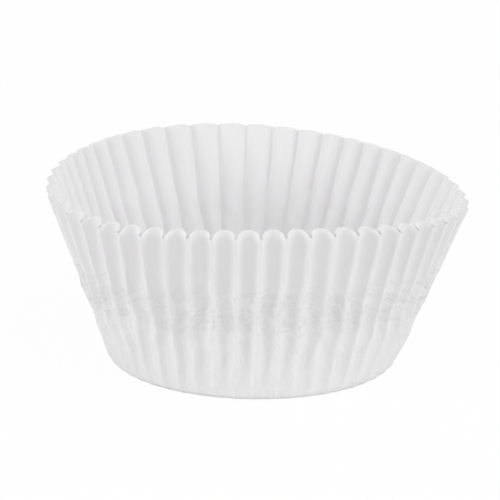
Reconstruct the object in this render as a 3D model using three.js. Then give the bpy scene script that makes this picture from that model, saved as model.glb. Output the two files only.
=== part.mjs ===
// Fluted paper baking cup, white, standing open on its flat round base.
// Millimetres, +Z up. The origin is the middle of the base's underside, and -Y is the front.
// Directions are in degrees, anticlockwise from +X as seen from above.

import * as THREE from 'three';
import { ParametricGeometry } from 'three/addons/geometries/ParametricGeometry.js';

// The sheet: one round blank. Its middle stays flat and its border is pleated up into the wall.
const BLANK_DIAMETER = 114.3;
const BASE_DIAMETER = 48.6;
const EDGE_RADIUS = 1.4;
const PAPER_THICKNESS = 0.08;

// The blank lay a little off the middle of its die, so the wall is longer on one side.
const BLANK_SHIFT = 1.43;
const BLANK_SHIFT_TOWARD = 186;

// The flutes: a narrow ridge that stands outward, then a broad channel that bulges into the cup.
const FLUTES = 51;
const RIDGE_SHARE = 0.28;
const FIRST_RIDGE = 186.5;

// How far the wall leans outward from upright, and how that differs around the cup, in degrees.
// A wave with one lobe pushes the mouth to one side, and the others press it out of round.
const FLARE = 16.9;
const FLARE_WAVES = [
  { lobes: 1, amount: 3.0, toward: 281 },
  { lobes: 2, amount: 1.9, toward: 26 },
  { lobes: 3, amount: 2.6, toward: 105 },
];

// The ridges are close to evenly spaced where they start, at the base's edge.
const BASE_DRIFT_WAVES = [
  { lobes: 1, amount: 3.0, toward: 0 },
];

// Further up they lean sideways, so that they crowd in some places at the mouth and spread in others.
const MOUTH_DRIFT = 0.9;
const MOUTH_DRIFT_WAVES = [
  { lobes: 1, amount: 6.9, toward: 194 },
  { lobes: 2, amount: 1.9, toward: 150 },
  { lobes: 4, amount: 0.9, toward: 41 },
];

// How finely the sheet is faceted.
const FLUTE_COLUMNS = 7;
const RIDGE_COLUMNS = 2;
const EDGE_RINGS = 2;
const WALL_RINGS = 5;

const PAPER_COLOUR = 0xe6e4e2;
const PAPER_ROUGHNESS = 0.85;

const BASE_RADIUS = BASE_DIAMETER / 2;
const WALL_LENGTH = BLANK_DIAMETER / 2 - BASE_RADIUS;
const FLUTE_ANGLE = 360 / FLUTES;
const COLUMNS = FLUTES * FLUTE_COLUMNS;
const SIDE_RINGS = 1 + EDGE_RINGS + WALL_RINGS;
const SHELL_RINGS = 2 * SIDE_RINGS + 1;
const SMALLEST_SLACK = 1e-9;

const { clamp, degToRad } = THREE.MathUtils;

function sumOfWaves(waves, direction) {
  let sum = 0;
  for (const { lobes, amount, toward } of waves) {
    sum += amount * Math.cos(degToRad(lobes * (direction - toward)));
  }
  return sum;
}

function wallLengthAt(place) {
  return WALL_LENGTH + BLANK_SHIFT * Math.cos(degToRad(place - BLANK_SHIFT_TOWARD));
}

function flareAt(direction) {
  return degToRad(FLARE + sumOfWaves(FLARE_WAVES, direction));
}

// Where a line of the sheet points. Its place is its direction on an evenly pleated blank, and
// rise is its share of the way up the wall.
function directionOf(place, rise) {
  const atBase = place + sumOfWaves(BASE_DRIFT_WAVES, place);
  const atMouth = place + MOUTH_DRIFT + sumOfWaves(MOUTH_DRIFT_WAVES, place);
  return atBase + (atMouth - atBase) * rise;
}

// Angle that one flute takes up around the cup.
function fluteAngleAt(place, rise) {
  const after = directionOf(place + FLUTE_ANGLE / 2, rise);
  const before = directionOf(place - FLUTE_ANGLE / 2, rise);
  return degToRad(after - before);
}

// A line that leans sideways has the same length of paper as any other, so it climbs less far.
function climbOf(place) {
  const sideways = degToRad(directionOf(place, 1) - directionOf(place, 0));
  const wallLength = wallLengthAt(place);
  const middleRadius = BASE_RADIUS + 0.5 * wallLength * Math.sin(flareAt(directionOf(place, 1)));
  return Math.sqrt(wallLength ** 2 - (sideways * middleRadius) ** 2);
}

// The cup without its flutes: the base turns up through a tight edge into a straight leaning wall.
// bend is the angle turned so far, and flatRadius is where this paper lay on the flat blank.
function plainSheet(place, edge, rise) {
  const direction = directionOf(place, rise);
  const flare = flareAt(direction);
  const turn = Math.PI / 2 - flare;
  const setback = EDGE_RADIUS * Math.tan(turn / 2);
  const bend = turn * edge;
  const climb = (climbOf(place) - setback) * rise;
  return {
    direction: degToRad(direction),
    bend,
    radius: BASE_RADIUS - setback + EDGE_RADIUS * Math.sin(bend) + climb * Math.sin(flare),
    height: EDGE_RADIUS * (1 - Math.cos(bend)) + climb * Math.cos(flare),
    flatRadius: BASE_RADIUS - setback + EDGE_RADIUS * bend + (wallLengthAt(place) - setback) * rise,
  };
}

// Half the angle of two circular arcs that hold the given length of paper in the given width.
// It is the series solution of angle / sin(angle) = paper / width.
function arcHalfAngle(paper, width) {
  const slack = 6 * Math.max(1 - width / paper, SMALLEST_SLACK);
  return Math.sqrt(slack * (1 + slack / 20 + (2 * slack ** 2) / 525));
}

// One flute's section, from ridge to ridge as share goes from 0 to 1. across runs along the wall,
// out stands off it, and tilt is how far the paper's outer face has turned from facing outward.
function fluteSection(share, halfAngle, width) {
  const bothRadii = width / (2 * Math.sin(halfAngle));
  const halfDepth = (bothRadii * (1 - Math.cos(halfAngle))) / 2;
  const halfRidge = RIDGE_COLUMNS / FLUTE_COLUMNS / 2;
  const fromRidge = share - Math.round(share);
  if (Math.abs(fromRidge) < halfRidge) {
    const radius = bothRadii * RIDGE_SHARE;
    const tilt = (halfAngle * fromRidge) / halfRidge;
    return {
      across: Math.round(share) * width + radius * Math.sin(tilt),
      out: halfDepth - radius * (1 - Math.cos(tilt)),
      tilt,
    };
  }
  const radius = bothRadii * (1 - RIDGE_SHARE);
  const tilt = (-halfAngle * (share - 0.5)) / (0.5 - halfRidge);
  return {
    across: width / 2 - radius * Math.sin(tilt),
    out: radius * (1 - Math.cos(tilt)) - halfDepth,
    tilt,
  };
}

// The closed skin of the sheet: from the middle of the underside out and up the outer face, over
// the cut rim, and down the inner face to the middle of the base. u goes once around the cup.
function skin(u, v, target) {
  const ring = Math.min(v * SHELL_RINGS, SHELL_RINGS - v * SHELL_RINGS, SIDE_RINGS);
  const side = clamp(SHELL_RINGS - 2 * v * SHELL_RINGS, -1, 1);
  const spread = Math.min(ring, 1);
  const edge = clamp((ring - 1) / EDGE_RINGS, 0, 1);
  const rise = clamp((ring - 1 - EDGE_RINGS) / WALL_RINGS, 0, 1) ** 2;

  const flute = Math.floor(u * FLUTES);
  const share = u * FLUTES - flute;
  const ridgePlace = FIRST_RIDGE + flute * FLUTE_ANGLE;
  const near = plainSheet(ridgePlace + share * FLUTE_ANGLE, edge, rise);
  const width = near.radius * fluteAngleAt(ridgePlace + share * FLUTE_ANGLE, rise);
  const paper = near.flatRadius * fluteAngleAt(ridgePlace + share * FLUTE_ANGLE, 0);
  const section = fluteSection(share, arcHalfAngle(paper, width), width);

  const middle = plainSheet(ridgePlace + (section.across / width) * FLUTE_ANGLE, edge, rise);
  const halfThickness = (side * PAPER_THICKNESS) / 2;
  const out = section.out + halfThickness * Math.cos(section.tilt);
  const along = halfThickness * Math.sin(section.tilt);
  const radius = spread * (middle.radius + out * Math.sin(middle.bend));
  const cosine = Math.cos(middle.direction);
  const sine = Math.sin(middle.direction);
  target.set(
    radius * cosine - spread * along * sine,
    radius * sine + spread * along * cosine,
    PAPER_THICKNESS / 2 + middle.height - out * Math.cos(middle.bend),
  );
}

const paper = new THREE.MeshStandardMaterial({
  color: PAPER_COLOUR,
  roughness: PAPER_ROUGHNESS,
  metalness: 0,
});
const sheet = new ParametricGeometry(skin, COLUMNS, SHELL_RINGS);

// The inner face's quads are split along the same diagonals as the outer face's, so that the two
// faces stay parallel where the paper twists.
const corners = sheet.index.array;
for (let start = 6 * COLUMNS * (SIDE_RINGS + 1); start < corners.length; start += 6) {
  const [a, b, d, , c] = corners.subarray(start, start + 6);
  corners.set([a, b, c, a, c, d], start);
}

const liner = new THREE.Mesh(sheet, paper);
liner.name = 'paper_liner';

const bakingCup = new THREE.Group();
bakingCup.add(liner);

export default bakingCup;
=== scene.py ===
from math import cos, radians, sin

import bpy
import numpy as np
from mathutils import Matrix, Vector


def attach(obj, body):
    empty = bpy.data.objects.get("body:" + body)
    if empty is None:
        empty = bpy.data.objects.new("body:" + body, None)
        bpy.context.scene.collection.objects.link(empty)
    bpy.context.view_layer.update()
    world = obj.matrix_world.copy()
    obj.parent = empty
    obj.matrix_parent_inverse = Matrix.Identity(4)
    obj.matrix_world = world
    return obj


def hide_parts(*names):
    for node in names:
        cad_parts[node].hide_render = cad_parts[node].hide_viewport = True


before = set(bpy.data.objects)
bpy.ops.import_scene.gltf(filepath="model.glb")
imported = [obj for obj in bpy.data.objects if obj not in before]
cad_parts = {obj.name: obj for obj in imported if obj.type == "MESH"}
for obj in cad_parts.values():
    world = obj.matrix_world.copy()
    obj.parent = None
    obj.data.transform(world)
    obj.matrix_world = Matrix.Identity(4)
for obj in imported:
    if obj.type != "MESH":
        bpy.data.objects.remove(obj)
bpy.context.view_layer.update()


# The camera: a long lens in front of the cup, a little above its rim and almost level from side to
# side. Lengths are in metres, except the lens and its sensor.
CAMERA_ELEVATION = radians(17.0)
CAMERA_ROLL = radians(1.22)
CAMERA_DISTANCE = 0.8035
CAMERA_AIM = Vector((-0.00063, 0.0, 0.01884))
CAMERA_LENS = 339.2
backward = Vector((0.0, -cos(CAMERA_ELEVATION), sin(CAMERA_ELEVATION)))
level_up = Vector((1.0, 0.0, 0.0)).cross(-backward)
camera_right = Vector((1.0, 0.0, 0.0)) * cos(CAMERA_ROLL) + level_up * sin(CAMERA_ROLL)
camera_up = level_up * cos(CAMERA_ROLL) - Vector((1.0, 0.0, 0.0)) * sin(CAMERA_ROLL)
camera_data = bpy.data.cameras.new("camera")
camera_data.sensor_width = 36.0
camera_data.lens = CAMERA_LENS
camera_data.clip_end = 20.0
camera = bpy.data.objects.new("camera", camera_data)
camera.matrix_world = Matrix.Translation(CAMERA_AIM + backward * CAMERA_DISTANCE) @ Matrix(
    (camera_right, camera_up, backward)
).transposed().to_4x4()
bpy.context.collection.objects.link(camera)
bpy.context.scene.camera = camera


# Bleached greaseproof paper: smooth, dense and thin, calendered to a faint sheen. It scatters
# most of the light softly and lets a little through, so its shadows are never deep.
PAPER_WHITE = "#f3f2f3"
PAPER_ROUGHNESS = 0.55
PAPER_IOR = 1.45
LIGHT_SCATTERED_INSIDE = 0.4
SCATTER_DEPTH = 0.0003


def linear(code):
    parts = [int(code[i : i + 2], 16) / 255 for i in (1, 3, 5)]
    return [p / 12.92 if p <= 0.04045 else ((p + 0.055) / 1.055) ** 2.4 for p in parts] + [1.0]


def add(tree, kind, *values, **settings):
    """Adds a node with its settings, links or sets its inputs in order, and gives its first output."""
    node = tree.nodes.new(kind)
    for name, setting in settings.items():
        setattr(node, name, setting)
    sockets = [s for s in node.inputs if s.enabled]
    for socket, value in zip(sockets, values):
        if isinstance(value, bpy.types.NodeSocket):
            tree.links.new(value, socket)
        elif value is not None:
            socket.default_value = value
    return next((s for s in node.outputs if s.enabled), None)


greaseproof = bpy.data.materials.new("bleached greaseproof paper")
greaseproof.use_nodes = True
tree = greaseproof.node_tree
shader = tree.nodes["Principled BSDF"]
shader.inputs["Base Color"].default_value = linear(PAPER_WHITE)
shader.inputs["Roughness"].default_value = PAPER_ROUGHNESS
shader.inputs["IOR"].default_value = PAPER_IOR
shader.inputs["Subsurface Weight"].default_value = LIGHT_SCATTERED_INSIDE
shader.inputs["Subsurface Radius"].default_value = (1.0, 1.0, 1.0)
shader.inputs["Subsurface Scale"].default_value = SCATTER_DEPTH

# The paper's patterns lie around and up the wall. One unit is its radius, 30 mm, or its rise, 33 mm.
# They are pressed from outside, and the inner face shows only a part of them. The foot and head of a
# band are shares of the wall's rise, and a relief is in millimetres.
INNER_SHARE = 0.15
place = tree.nodes.new("ShaderNodeTexCoord").outputs["Object"]
around = add(tree, "ShaderNodeVectorMath", place, (1.0, 1.0, 0.0), operation="MULTIPLY")
around = add(tree, "ShaderNodeVectorMath", around, operation="NORMALIZE")
rise_on = add(tree, "ShaderNodeAttribute", attribute_name="rise").node.outputs["Fac"]
face_on = add(tree, "ShaderNodeAttribute", attribute_name="face").node.outputs["Fac"]
upright = add(tree, "ShaderNodeCombineXYZ", None, None, rise_on)
spot_on = add(tree, "ShaderNodeVectorMath", around, upright, operation="ADD")
outward = add(tree, "ShaderNodeMapRange", face_on, -1.0, 1.0, INNER_SHARE, 1.0)

# The die's grip halfway up leaves patches of short wrinkles, 2 mm wide and half a millimetre high.
# The patches are about 4 mm across.
WRINKLES_PER_UNIT = (15.0, 15.0, 60.0)
PATCHES_PER_UNIT = (7.0, 7.0, 9.0)
PATCH_EDGE = (0.46, 0.6)
GRIP_FOOT = (0.3, 0.42)
GRIP_HEAD = (0.6, 0.7)
WRINKLE_RELIEF = 0.25
wrinkle_on = add(tree, "ShaderNodeVectorMath", spot_on, WRINKLES_PER_UNIT, operation="MULTIPLY")
wrinkle = add(tree, "ShaderNodeTexNoise", wrinkle_on, None, 1.0, 2.0, 0.5)
patch_on = add(tree, "ShaderNodeVectorMath", spot_on, PATCHES_PER_UNIT, operation="MULTIPLY")
patch = add(tree, "ShaderNodeTexNoise", patch_on, None, 1.0, 1.0, 0.5)
patch = add(tree, "ShaderNodeMapRange", patch, *PATCH_EDGE, 0.0, 1.0)
wrinkle_low = add(tree, "ShaderNodeMapRange", rise_on, *GRIP_FOOT, 0.0, 1.0)
wrinkle_high = add(tree, "ShaderNodeMapRange", rise_on, *GRIP_HEAD, 1.0, 0.0)
wrinkled = add(tree, "ShaderNodeMath", wrinkle_low, wrinkle_high, operation="MULTIPLY")
wrinkled = add(tree, "ShaderNodeMath", wrinkled, patch, operation="MULTIPLY")
wrinkled = add(tree, "ShaderNodeMath", wrinkled, outward, operation="MULTIPLY")
wrinkle = add(tree, "ShaderNodeMath", wrinkle, wrinkled, operation="MULTIPLY")

# From there down the paper is creased upright, with the finest creases 1 to 2 mm apart.
CREASES_PER_UNIT = (12.0, 12.0, 3.0)
CREASE_HEAD = (0.4, 0.6)
CREASE_RELIEF = 0.2
crease_on = add(tree, "ShaderNodeVectorMath", spot_on, CREASES_PER_UNIT, operation="MULTIPLY")
crease = add(tree, "ShaderNodeTexNoise", crease_on, None, 1.0, 0.0, 0.5)
crease = add(tree, "ShaderNodeMath", crease, 0.5, operation="SUBTRACT")
crease = add(tree, "ShaderNodeMath", crease, operation="ABSOLUTE")
creased = add(tree, "ShaderNodeMapRange", rise_on, *CREASE_HEAD, 1.0, 0.0)
creased = add(tree, "ShaderNodeMath", creased, outward, operation="MULTIPLY")
crease = add(tree, "ShaderNodeMath", crease, creased, operation="MULTIPLY")

# Fibres and their clumps, under a millimetre, are too fine to see one by one and only roughen the face.
FIBRE_CLUMPS_PER_METRE = 1500.0
FIBRE_RELIEF = 0.012
RELIEF_UNIT = 0.001
fibres = add(tree, "ShaderNodeTexNoise", place, None, FIBRE_CLUMPS_PER_METRE, 3.0, 0.6)
relief = add(tree, "ShaderNodeMath", wrinkle, WRINKLE_RELIEF, operation="MULTIPLY")
relief = add(tree, "ShaderNodeMath", crease, CREASE_RELIEF, relief, operation="MULTIPLY_ADD")
relief = add(tree, "ShaderNodeMath", fibres, FIBRE_RELIEF, relief, operation="MULTIPLY_ADD")
bumps = tree.nodes.new("ShaderNodeBump")
bumps.inputs["Distance"].default_value = RELIEF_UNIT
tree.links.new(relief, bumps.inputs["Height"])
tree.links.new(bumps.outputs["Normal"], shader.inputs["Normal"])


# The cup: one round sheet of paper, pressed between a fluted plug and ring. Its middle is the flat
# base, and its border gathers into narrow outward ridges with broad channels bulging inward.
#
# Lengths are in millimetres. Directions are in degrees, anticlockwise from the right, seen from above.
# A wave is its number of lobes around the cup, its size and the direction of its first crest.
BLANK_DIAMETER = 114.3
BASE_DIAMETER = 48.6
EDGE_RADIUS = 1.4
PAPER_THICKNESS = 0.08
BLANK_SHIFT = 1.43
BLANK_SHIFT_TOWARD = 186
FLUTES = 51
RIDGE_SHARE = 0.17
FIRST_RIDGE = 186.5
FLARE = 16.9
FLARE_WAVES = ((1, 3.0, 281), (2, 1.9, 26), (3, 2.6, 105))
BASE_DRIFT_WAVES = ((1, 3.0, 0),)
MOUTH_DRIFT = 0.9
MOUTH_DRIFT_WAVES = ((1, 6.9, 194), (2, 1.9, 150), (4, 0.9, 41))
RIDGE_COLUMNS = 4
FLUTE_COLUMNS = 14
EDGE_RINGS = 6
OUTER_RINGS = 74
INNER_RINGS = 46
MM = 0.001
base_radius = BASE_DIAMETER / 2
flute_angle = 360 / FLUTES


def waves_at(waves, direction):
    return sum(size * np.cos(np.radians(lobes * (direction - toward))) for lobes, size, toward in waves)


def direction_of(spot, rise):
    low = spot + waves_at(BASE_DRIFT_WAVES, spot)
    high = spot + MOUTH_DRIFT + waves_at(MOUTH_DRIFT_WAVES, spot)
    return low + (high - low) * rise


def flute_angle_at(spot, rise):
    half = flute_angle / 2
    return np.radians(direction_of(spot + half, rise) - direction_of(spot - half, rise))


# Each ring of the skin runs once around the cup: (spread over the base, share of the edge's bend,
# share of the wall, face). The face is 1 outside and -1 inside, and the two meet at the rim. Up the
# wall the rings lie closer at the foot than at the rim.
FOOT_PITCH = 0.55


def rings_of(face, count):
    rings = [(0.0, 0.0, 0.0, face)]
    rings += [(1.0, i / EDGE_RINGS, 0.0, face) for i in range(EDGE_RINGS)]
    shares = [i / count for i in range(count + 1)]
    rings += [(1.0, 1.0, up * (FOOT_PITCH + (1 - FOOT_PITCH) * up), face) for up in shares]
    return rings


rings = np.array(rings_of(1.0, OUTER_RINGS) + rings_of(-1.0, INNER_RINGS)[::-1])
columns = np.arange(FLUTES * FLUTE_COLUMNS + 1)
ring_of, column_of = (grid.ravel() for grid in np.meshgrid(np.arange(len(rings)), columns, indexing="ij"))
spread, edge, rise, face = rings[ring_of].T
step = (column_of + FLUTE_COLUMNS // 2) % FLUTE_COLUMNS - FLUTE_COLUMNS // 2
share = step / FLUTE_COLUMNS
half_ridge = RIDGE_COLUMNS / FLUTE_COLUMNS / 2
on_channel = (np.abs(share) - half_ridge) / (0.5 - half_ridge)
even_across = np.sign(share) * np.where(
    on_channel > 0,
    RIDGE_SHARE / 2 + (0.5 - RIDGE_SHARE / 2) * on_channel,
    RIDGE_SHARE / 2 * np.abs(share) / half_ridge,
)
ridge_number = (column_of - step) / FLUTE_COLUMNS
spot = FIRST_RIDGE + (ridge_number + even_across) * flute_angle

# The plain cup that the flutes stand on, without their in and out. The rim rises between the ridges
# in low arches, because the paper's edge follows the channels.
RIM_ARCH = 0.4
ARCH_ROUNDNESS = 1.4
ARCH_FADE = 8
direction = direction_of(spot, rise)
wall_length = BLANK_DIAMETER / 2 - base_radius + waves_at(((1, BLANK_SHIFT, BLANK_SHIFT_TOWARD),), spot)
flare = np.radians(FLARE + waves_at(FLARE_WAVES, direction))
turn = np.pi / 2 - flare
setback = EDGE_RADIUS * np.tan(turn / 2)
bend = turn * edge
mouth = direction_of(spot, 1.0)
sideways = np.radians(mouth - direction_of(spot, 0.0))
middle_radius = base_radius + 0.5 * wall_length * np.sin(np.radians(FLARE + waves_at(FLARE_WAVES, mouth)))
climb = (np.sqrt(wall_length**2 - (sideways * middle_radius) ** 2) - setback) * rise
climb += RIM_ARCH * (1 - (1 - 2 * np.abs(share)) ** ARCH_ROUNDNESS) * rise**ARCH_FADE
radius = base_radius - setback + EDGE_RADIUS * np.sin(bend) + climb * np.sin(flare)
height = EDGE_RADIUS * (1 - np.cos(bend)) + climb * np.cos(flare)
flat_radius = base_radius - setback + EDGE_RADIUS * bend + (wall_length - setback) * rise
width = radius * flute_angle_at(spot, rise)


# An arc's half angle is found from the paper that it holds and the width that it spans.
def arc_half_angle(paper):
    slack = 6 * np.maximum(1 - width / paper, 1e-9)
    return np.sqrt(slack * (1 + slack / 20 + 2 * slack**2 / 525))


# Towards the rim, crimps take up a part of the spare paper, most of all at the back. The ridges keep
# their place, and the channels are that much shallower.
CRIMPED_SHARE = 0.32
CRIMPED_WAVES = ((1, 0.26, 90),)
paper = flat_radius * flute_angle_at(spot, 0.0)
crimped = (CRIMPED_SHARE + waves_at(CRIMPED_WAVES, spot)) * rise
half_angle = arc_half_angle(paper - crimped * (paper - width))
shallower = width / 4 * (np.tan(arc_half_angle(paper) / 2) - np.tan(half_angle / 2))
radius += shallower * np.sin(bend)
height -= shallower * np.cos(bend)

plain_cup = bpy.data.meshes.new("plain cup")
points = np.column_stack(
    (
        spread * radius * np.cos(np.radians(direction)),
        spread * radius * np.sin(np.radians(direction)),
        height,
    )
)
corner = np.arange(len(rings) * len(columns)).reshape(len(rings), len(columns))
quads = np.stack((corner[:-1, :-1], corner[:-1, 1:], corner[1:, 1:], corner[1:, :-1]), -1).reshape(-1, 4)
plain_cup.from_pydata((points * MM).tolist(), [], quads.tolist())
marks = {
    "share": share,
    "even_across": even_across * width,
    "direction": np.radians(direction),
    "radius": radius,
    "height": height,
    "bend": bend,
    "width": width,
    "half_angle": half_angle,
    "face": face,
    "spread": spread,
    "rise": rise,
}
for name, values in marks.items():
    plain_cup.attributes.new(name, "FLOAT", "POINT").data.foreach_set("value", values.astype(np.float32))
liner = bpy.data.objects.new("fluted_liner", plain_cup)
bpy.context.collection.objects.link(liner)

# The pleating: each flute is a small arc for the ridge and a large one for the channel. Then the
# paper gets its thickness, its sway and its creases, and the whole is set in its place.
pleating = bpy.data.node_groups.new("pleating", "GeometryNodeTree")
pleating.interface.new_socket("Sheet", in_out="INPUT", socket_type="NodeSocketGeometry")
PLEATING_SIZES = {
    "Ridge share": RIDGE_SHARE,
    "Ridge columns share": half_ridge,
    "Paper thickness": PAPER_THICKNESS,
    "Wobble": 0.5,
    "Crease depth": 0.35,
    "Seed": 4.0,
}
size_sockets = {
    name: pleating.interface.new_socket(name, in_out="INPUT", socket_type="NodeSocketFloat")
    for name in PLEATING_SIZES
}
pleating.interface.new_socket("Sheet", in_out="OUTPUT", socket_type="NodeSocketGeometry")
given = pleating.nodes.new("NodeGroupInput").outputs
read = {
    name: add(pleating, "GeometryNodeInputNamedAttribute", name, data_type="FLOAT")
    for name in marks
}

# The two arcs share one half angle, so they meet smoothly, and their radii go by their widths.
side_of_ridge = add(pleating, "ShaderNodeMath", read["share"], operation="SIGN")
from_ridge = add(pleating, "ShaderNodeMath", read["share"], operation="ABSOLUTE")
on_ridge = add(pleating, "ShaderNodeMath", from_ridge, given["Ridge columns share"], operation="LESS_THAN")
half_width = add(pleating, "ShaderNodeMath", read["width"], 2.0, operation="DIVIDE")
half_angle_sine = add(pleating, "ShaderNodeMath", read["half_angle"], operation="SINE")
half_angle_cosine = add(pleating, "ShaderNodeMath", read["half_angle"], operation="COSINE")
both_radii = add(pleating, "ShaderNodeMath", half_width, half_angle_sine, operation="DIVIDE")
bulge = add(pleating, "ShaderNodeMath", 1.0, half_angle_cosine, operation="SUBTRACT")
depth = add(pleating, "ShaderNodeMath", both_radii, bulge, operation="MULTIPLY")
half_depth = add(pleating, "ShaderNodeMath", depth, 2.0, operation="DIVIDE")
ridge_radius = add(pleating, "ShaderNodeMath", both_radii, given["Ridge share"], operation="MULTIPLY")
channel_radius = add(pleating, "ShaderNodeMath", ridge_radius, both_radii, operation="SUBTRACT")

# The tilt is how far a spot has turned along its own arc.
ridge_turn = add(pleating, "ShaderNodeMath", read["half_angle"], read["share"], operation="MULTIPLY")
ridge_tilt = add(pleating, "ShaderNodeMath", ridge_turn, given["Ridge columns share"], operation="DIVIDE")
channel_middle = add(pleating, "ShaderNodeMath", side_of_ridge, 2.0, operation="DIVIDE")
from_channel = add(pleating, "ShaderNodeMath", read["share"], channel_middle, operation="SUBTRACT")
channel_turn = add(pleating, "ShaderNodeMath", read["half_angle"], from_channel, operation="MULTIPLY")
channel_half = add(pleating, "ShaderNodeMath", given["Ridge columns share"], 0.5, operation="SUBTRACT")
channel_tilt = add(pleating, "ShaderNodeMath", channel_turn, channel_half, operation="DIVIDE")
arc_radius = add(pleating, "GeometryNodeSwitch", on_ridge, channel_radius, ridge_radius, input_type="FLOAT")
tilt = add(pleating, "GeometryNodeSwitch", on_ridge, channel_tilt, ridge_tilt, input_type="FLOAT")
tilt_sine = add(pleating, "ShaderNodeMath", tilt, operation="SINE")
tilt_cosine = add(pleating, "ShaderNodeMath", tilt, operation="COSINE")

# Each arc is laid out from its own middle, the ridge's outward and the channel's inward.
channel_crest = add(pleating, "ShaderNodeMath", half_depth, -1.0, operation="MULTIPLY")
crest = add(pleating, "GeometryNodeSwitch", on_ridge, channel_crest, half_depth, input_type="FLOAT")
channel_centre = add(pleating, "ShaderNodeMath", side_of_ridge, half_width, operation="MULTIPLY")
centre = add(pleating, "GeometryNodeSwitch", on_ridge, channel_centre, 0.0, input_type="FLOAT")
across = add(pleating, "ShaderNodeMath", arc_radius, tilt_sine, centre, operation="MULTIPLY_ADD")
arc_middle = add(pleating, "ShaderNodeMath", crest, arc_radius, operation="SUBTRACT")
out = add(pleating, "ShaderNodeMath", arc_radius, tilt_cosine, arc_middle, operation="MULTIPLY_ADD")

half_thickness = add(pleating, "ShaderNodeMath", given["Paper thickness"], 2.0, operation="DIVIDE")
to_face = add(pleating, "ShaderNodeMath", half_thickness, read["face"], operation="MULTIPLY")
across = add(pleating, "ShaderNodeMath", to_face, tilt_sine, across, operation="MULTIPLY_ADD")
out = add(pleating, "ShaderNodeMath", to_face, tilt_cosine, out, operation="MULTIPLY_ADD")

# Handling leaves each ridge a little out of line, most of all halfway up, where it may kink. A sway
# is about 7 mm long, and twice as wide sideways as it is outward.
SWAYS_PER_METRE = 140.0
SIDEWAYS_SWAY = 6.0
OUTWARD_SWAY = 3.0
SWAY_FOOT = (0.0, 0.3)
SWAY_HEAD = (0.4, 0.75)
SWAY_AT_RIM = 0.2
on_sheet = add(pleating, "GeometryNodeInputPosition")
swaying = add(
    pleating, "ShaderNodeTexNoise", on_sheet, given["Seed"], SWAYS_PER_METRE, 2.0, 0.5, noise_dimensions="4D"
)
sway = add(pleating, "ShaderNodeSeparateXYZ", swaying.node.outputs["Color"]).node.outputs
loosening = add(pleating, "ShaderNodeMapRange", read["rise"], *SWAY_FOOT, 0.0, 1.0)
tightening = add(pleating, "ShaderNodeMapRange", read["rise"], *SWAY_HEAD, 1.0, SWAY_AT_RIM)
looseness = add(pleating, "ShaderNodeMath", loosening, tightening, operation="MULTIPLY")
looseness = add(pleating, "ShaderNodeMath", looseness, given["Wobble"], operation="MULTIPLY")
sideways_sway = add(pleating, "ShaderNodeMath", sway["X"], 0.5, operation="SUBTRACT")
sideways_sway = add(pleating, "ShaderNodeMath", sideways_sway, SIDEWAYS_SWAY, operation="MULTIPLY")
outward_sway = add(pleating, "ShaderNodeMath", sway["Y"], 0.5, operation="SUBTRACT")
outward_sway = add(pleating, "ShaderNodeMath", outward_sway, OUTWARD_SWAY, operation="MULTIPLY")
across = add(pleating, "ShaderNodeMath", sideways_sway, looseness, across, operation="MULTIPLY_ADD")
out = add(pleating, "ShaderNodeMath", outward_sway, looseness, out, operation="MULTIPLY_ADD")

# Low on the wall the gathered paper is creased upright, every 1.6 mm and about 9 mm long.
CREASES_PER_METRE = (620.0, 620.0, 110.0)
CREASE_FOOT = (0.02, 0.15)
crease_on = add(pleating, "ShaderNodeVectorMath", on_sheet, CREASES_PER_METRE, operation="MULTIPLY")
creasing = add(
    pleating, "ShaderNodeTexNoise", crease_on, given["Seed"], 1.0, 0.0, 0.5, noise_dimensions="4D"
)
creasing = add(pleating, "ShaderNodeMath", creasing, 0.5, operation="SUBTRACT")
starting = add(pleating, "ShaderNodeMapRange", read["rise"], *CREASE_FOOT, 0.0, 1.0)
ending = add(pleating, "ShaderNodeMapRange", read["rise"], *CREASE_HEAD, 1.0, 0.0)
creased = add(pleating, "ShaderNodeMath", starting, ending, operation="MULTIPLY")
creased = add(pleating, "ShaderNodeMath", creased, given["Crease depth"], operation="MULTIPLY")
out = add(pleating, "ShaderNodeMath", creasing, creased, out, operation="MULTIPLY_ADD")

# The flutes go out from the plain cup, square to its base, its bend or its wall.
shifted = add(pleating, "ShaderNodeMath", across, read["even_across"], operation="SUBTRACT")
turned = add(pleating, "ShaderNodeMath", shifted, read["radius"], operation="DIVIDE")
heading = add(pleating, "ShaderNodeMath", read["direction"], turned, operation="ADD")
bend_sine = add(pleating, "ShaderNodeMath", read["bend"], operation="SINE")
bend_cosine = add(pleating, "ShaderNodeMath", read["bend"], operation="COSINE")
reach = add(pleating, "ShaderNodeMath", out, bend_sine, read["radius"], operation="MULTIPLY_ADD")
reach = add(pleating, "ShaderNodeMath", read["spread"], reach, operation="MULTIPLY")
lift = add(pleating, "ShaderNodeMath", half_thickness, read["height"], operation="ADD")
drop = add(pleating, "ShaderNodeMath", out, bend_cosine, operation="MULTIPLY")
level = add(pleating, "ShaderNodeMath", lift, drop, operation="SUBTRACT")
heading_cosine = add(pleating, "ShaderNodeMath", heading, operation="COSINE")
heading_sine = add(pleating, "ShaderNodeMath", heading, operation="SINE")
place_x = add(pleating, "ShaderNodeMath", reach, heading_cosine, operation="MULTIPLY")
place_y = add(pleating, "ShaderNodeMath", reach, heading_sine, operation="MULTIPLY")
placed = add(pleating, "ShaderNodeCombineXYZ", place_x, place_y, level)
placed = add(pleating, "ShaderNodeVectorMath", placed, (MM, MM, MM), operation="MULTIPLY")

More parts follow.
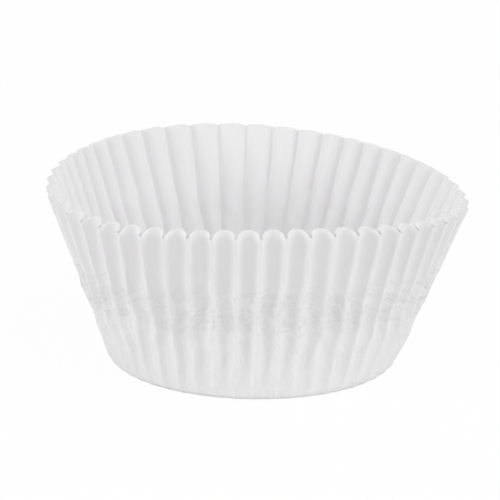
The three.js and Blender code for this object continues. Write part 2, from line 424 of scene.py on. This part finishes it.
# The sheet's seam and poles are closed. Its face is smooth, and its cut edge stays sharp.
SEAM_GAP = 0.000002
SHARP_FOLD = 1.0
shaped = add(pleating, "GeometryNodeSetPosition", given["Sheet"], None, placed)
closed = add(pleating, "GeometryNodeMergeByDistance", shaped)
closed.node.inputs["Distance"].default_value = SEAM_GAP
fold = add(pleating, "GeometryNodeInputMeshEdgeAngle")
cut_edge = add(pleating, "FunctionNodeCompare", fold, SHARP_FOLD, data_type="FLOAT", operation="GREATER_THAN")
smooth = add(pleating, "GeometryNodeSetShadeSmooth", closed, None, True, domain="FACE")
smooth = add(pleating, "GeometryNodeSetShadeSmooth", smooth, cut_edge, False, domain="EDGE")
whole = add(pleating, "GeometryNodeRealizeInstances", smooth)
dressed = add(pleating, "GeometryNodeSetMaterial", whole)
dressed.node.inputs["Material"].default_value = greaseproof
pleating.links.new(dressed, pleating.nodes.new("NodeGroupOutput").inputs[0])

pleater = liner.modifiers.new("pleating", "NODES")
pleater.node_group = pleating
for name, size in PLEATING_SIZES.items():
    pleater[size_sockets[name].identifier] = size
evaluated = liner.evaluated_get(bpy.context.evaluated_depsgraph_get())
pleated = bpy.data.meshes.new_from_object(evaluated)
liner.modifiers.clear()
liner.data = pleated
for attribute in list(pleated.attributes):
    if attribute.name in marks and attribute.name not in ("rise", "face"):
        pleated.attributes.remove(attribute)
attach(liner, "root")
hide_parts("paper_liner")


# The table: a plain white sheet of matt board, wider than the view. It is lit up for the eye until
# it is almost pure white, and keeps the cup's faint shadow.
TABLE_WHITE = "#f2f2f2"
TABLE_ROUGHNESS = 0.9
TABLE_HALF_WIDTH = 6
TABLE_DROP = 0.0001
TABLE_GLOW_SHARE = 0.96
w = TABLE_HALF_WIDTH
floor_mesh = bpy.data.meshes.new("table")
floor_mesh.from_pydata([(-w, -w, 0), (w, -w, 0), (w, w, 0), (-w, w, 0)], [], [(0, 1, 2, 3)])
floor = bpy.data.objects.new("table", floor_mesh)
floor.location.z = -TABLE_DROP
bpy.context.collection.objects.link(floor)
matt_board = bpy.data.materials.new("matt white board")
matt_board.use_nodes = True
tree = matt_board.node_tree
shader = tree.nodes["Principled BSDF"]
shader.inputs["Base Color"].default_value = linear(TABLE_WHITE)
shader.inputs["Roughness"].default_value = TABLE_ROUGHNESS
shader.inputs["Specular IOR Level"].default_value = 0.0
seen = tree.nodes.new("ShaderNodeLightPath").outputs["Is Camera Ray"]
glow = add(tree, "ShaderNodeEmission", (1.0, 1.0, 1.0, 1.0), 1.0)
amount = add(tree, "ShaderNodeMath", seen, TABLE_GLOW_SHARE, operation="MULTIPLY")
blend = add(tree, "ShaderNodeMixShader", amount, shader.outputs["BSDF"], glow)
tree.links.new(blend, tree.nodes["Material Output"].inputs["Surface"])
floor_mesh.materials.append(matt_board)


# Soft studio light: an even white surround, a broad panel from each side a little to the front, and
# one above the mouth to the right. Each panel has its name, its place, its watts and its width.
SURROUND_LIGHT = 0.66
SURROUND_SEEN = 1.0
PANELS = (
    ("left panel", (-0.85, -0.5, 0.35), 2.5, 0.4),
    ("right panel", (0.85, -0.5, 0.35), 2.0, 0.4),
    ("top panel", (0.4, -0.4, 1.0), 1.6, 0.7),
)
PANELS_AIM = Vector((0.0, 0.0, 0.015))
world = bpy.data.worlds.new("studio")
bpy.context.scene.world = world
world.use_nodes = True
tree = world.node_tree
lighting = tree.nodes["Background"]
lighting.inputs["Color"].default_value = (1.0, 1.0, 1.0, 1.0)
lighting.inputs["Strength"].default_value = SURROUND_LIGHT
backdrop = add(tree, "ShaderNodeBackground", (1.0, 1.0, 1.0, 1.0), SURROUND_SEEN)
paths = tree.nodes.new("ShaderNodeLightPath").outputs
seen = add(tree, "ShaderNodeMath", paths["Is Camera Ray"], paths["Is Glossy Ray"], operation="MAXIMUM")
seen = add(tree, "ShaderNodeMath", seen, paths["Is Transmission Ray"], operation="MAXIMUM")
surround = add(tree, "ShaderNodeMixShader", seen, lighting.outputs["Background"], backdrop)
tree.links.new(surround, tree.nodes["World Output"].inputs["Surface"])
for name, panel_place, watts, width_across in PANELS:
    panel = bpy.data.lights.new(name, "AREA")
    panel.energy = watts
    panel.size = width_across
    lamp = bpy.data.objects.new(name, panel)
    lamp.location = panel_place
    lamp.rotation_euler = (PANELS_AIM - Vector(panel_place)).to_track_quat("-Z", "Y").to_euler()
    bpy.context.collection.objects.link(lamp)

bpy.context.scene.view_settings.view_transform = "Standard"
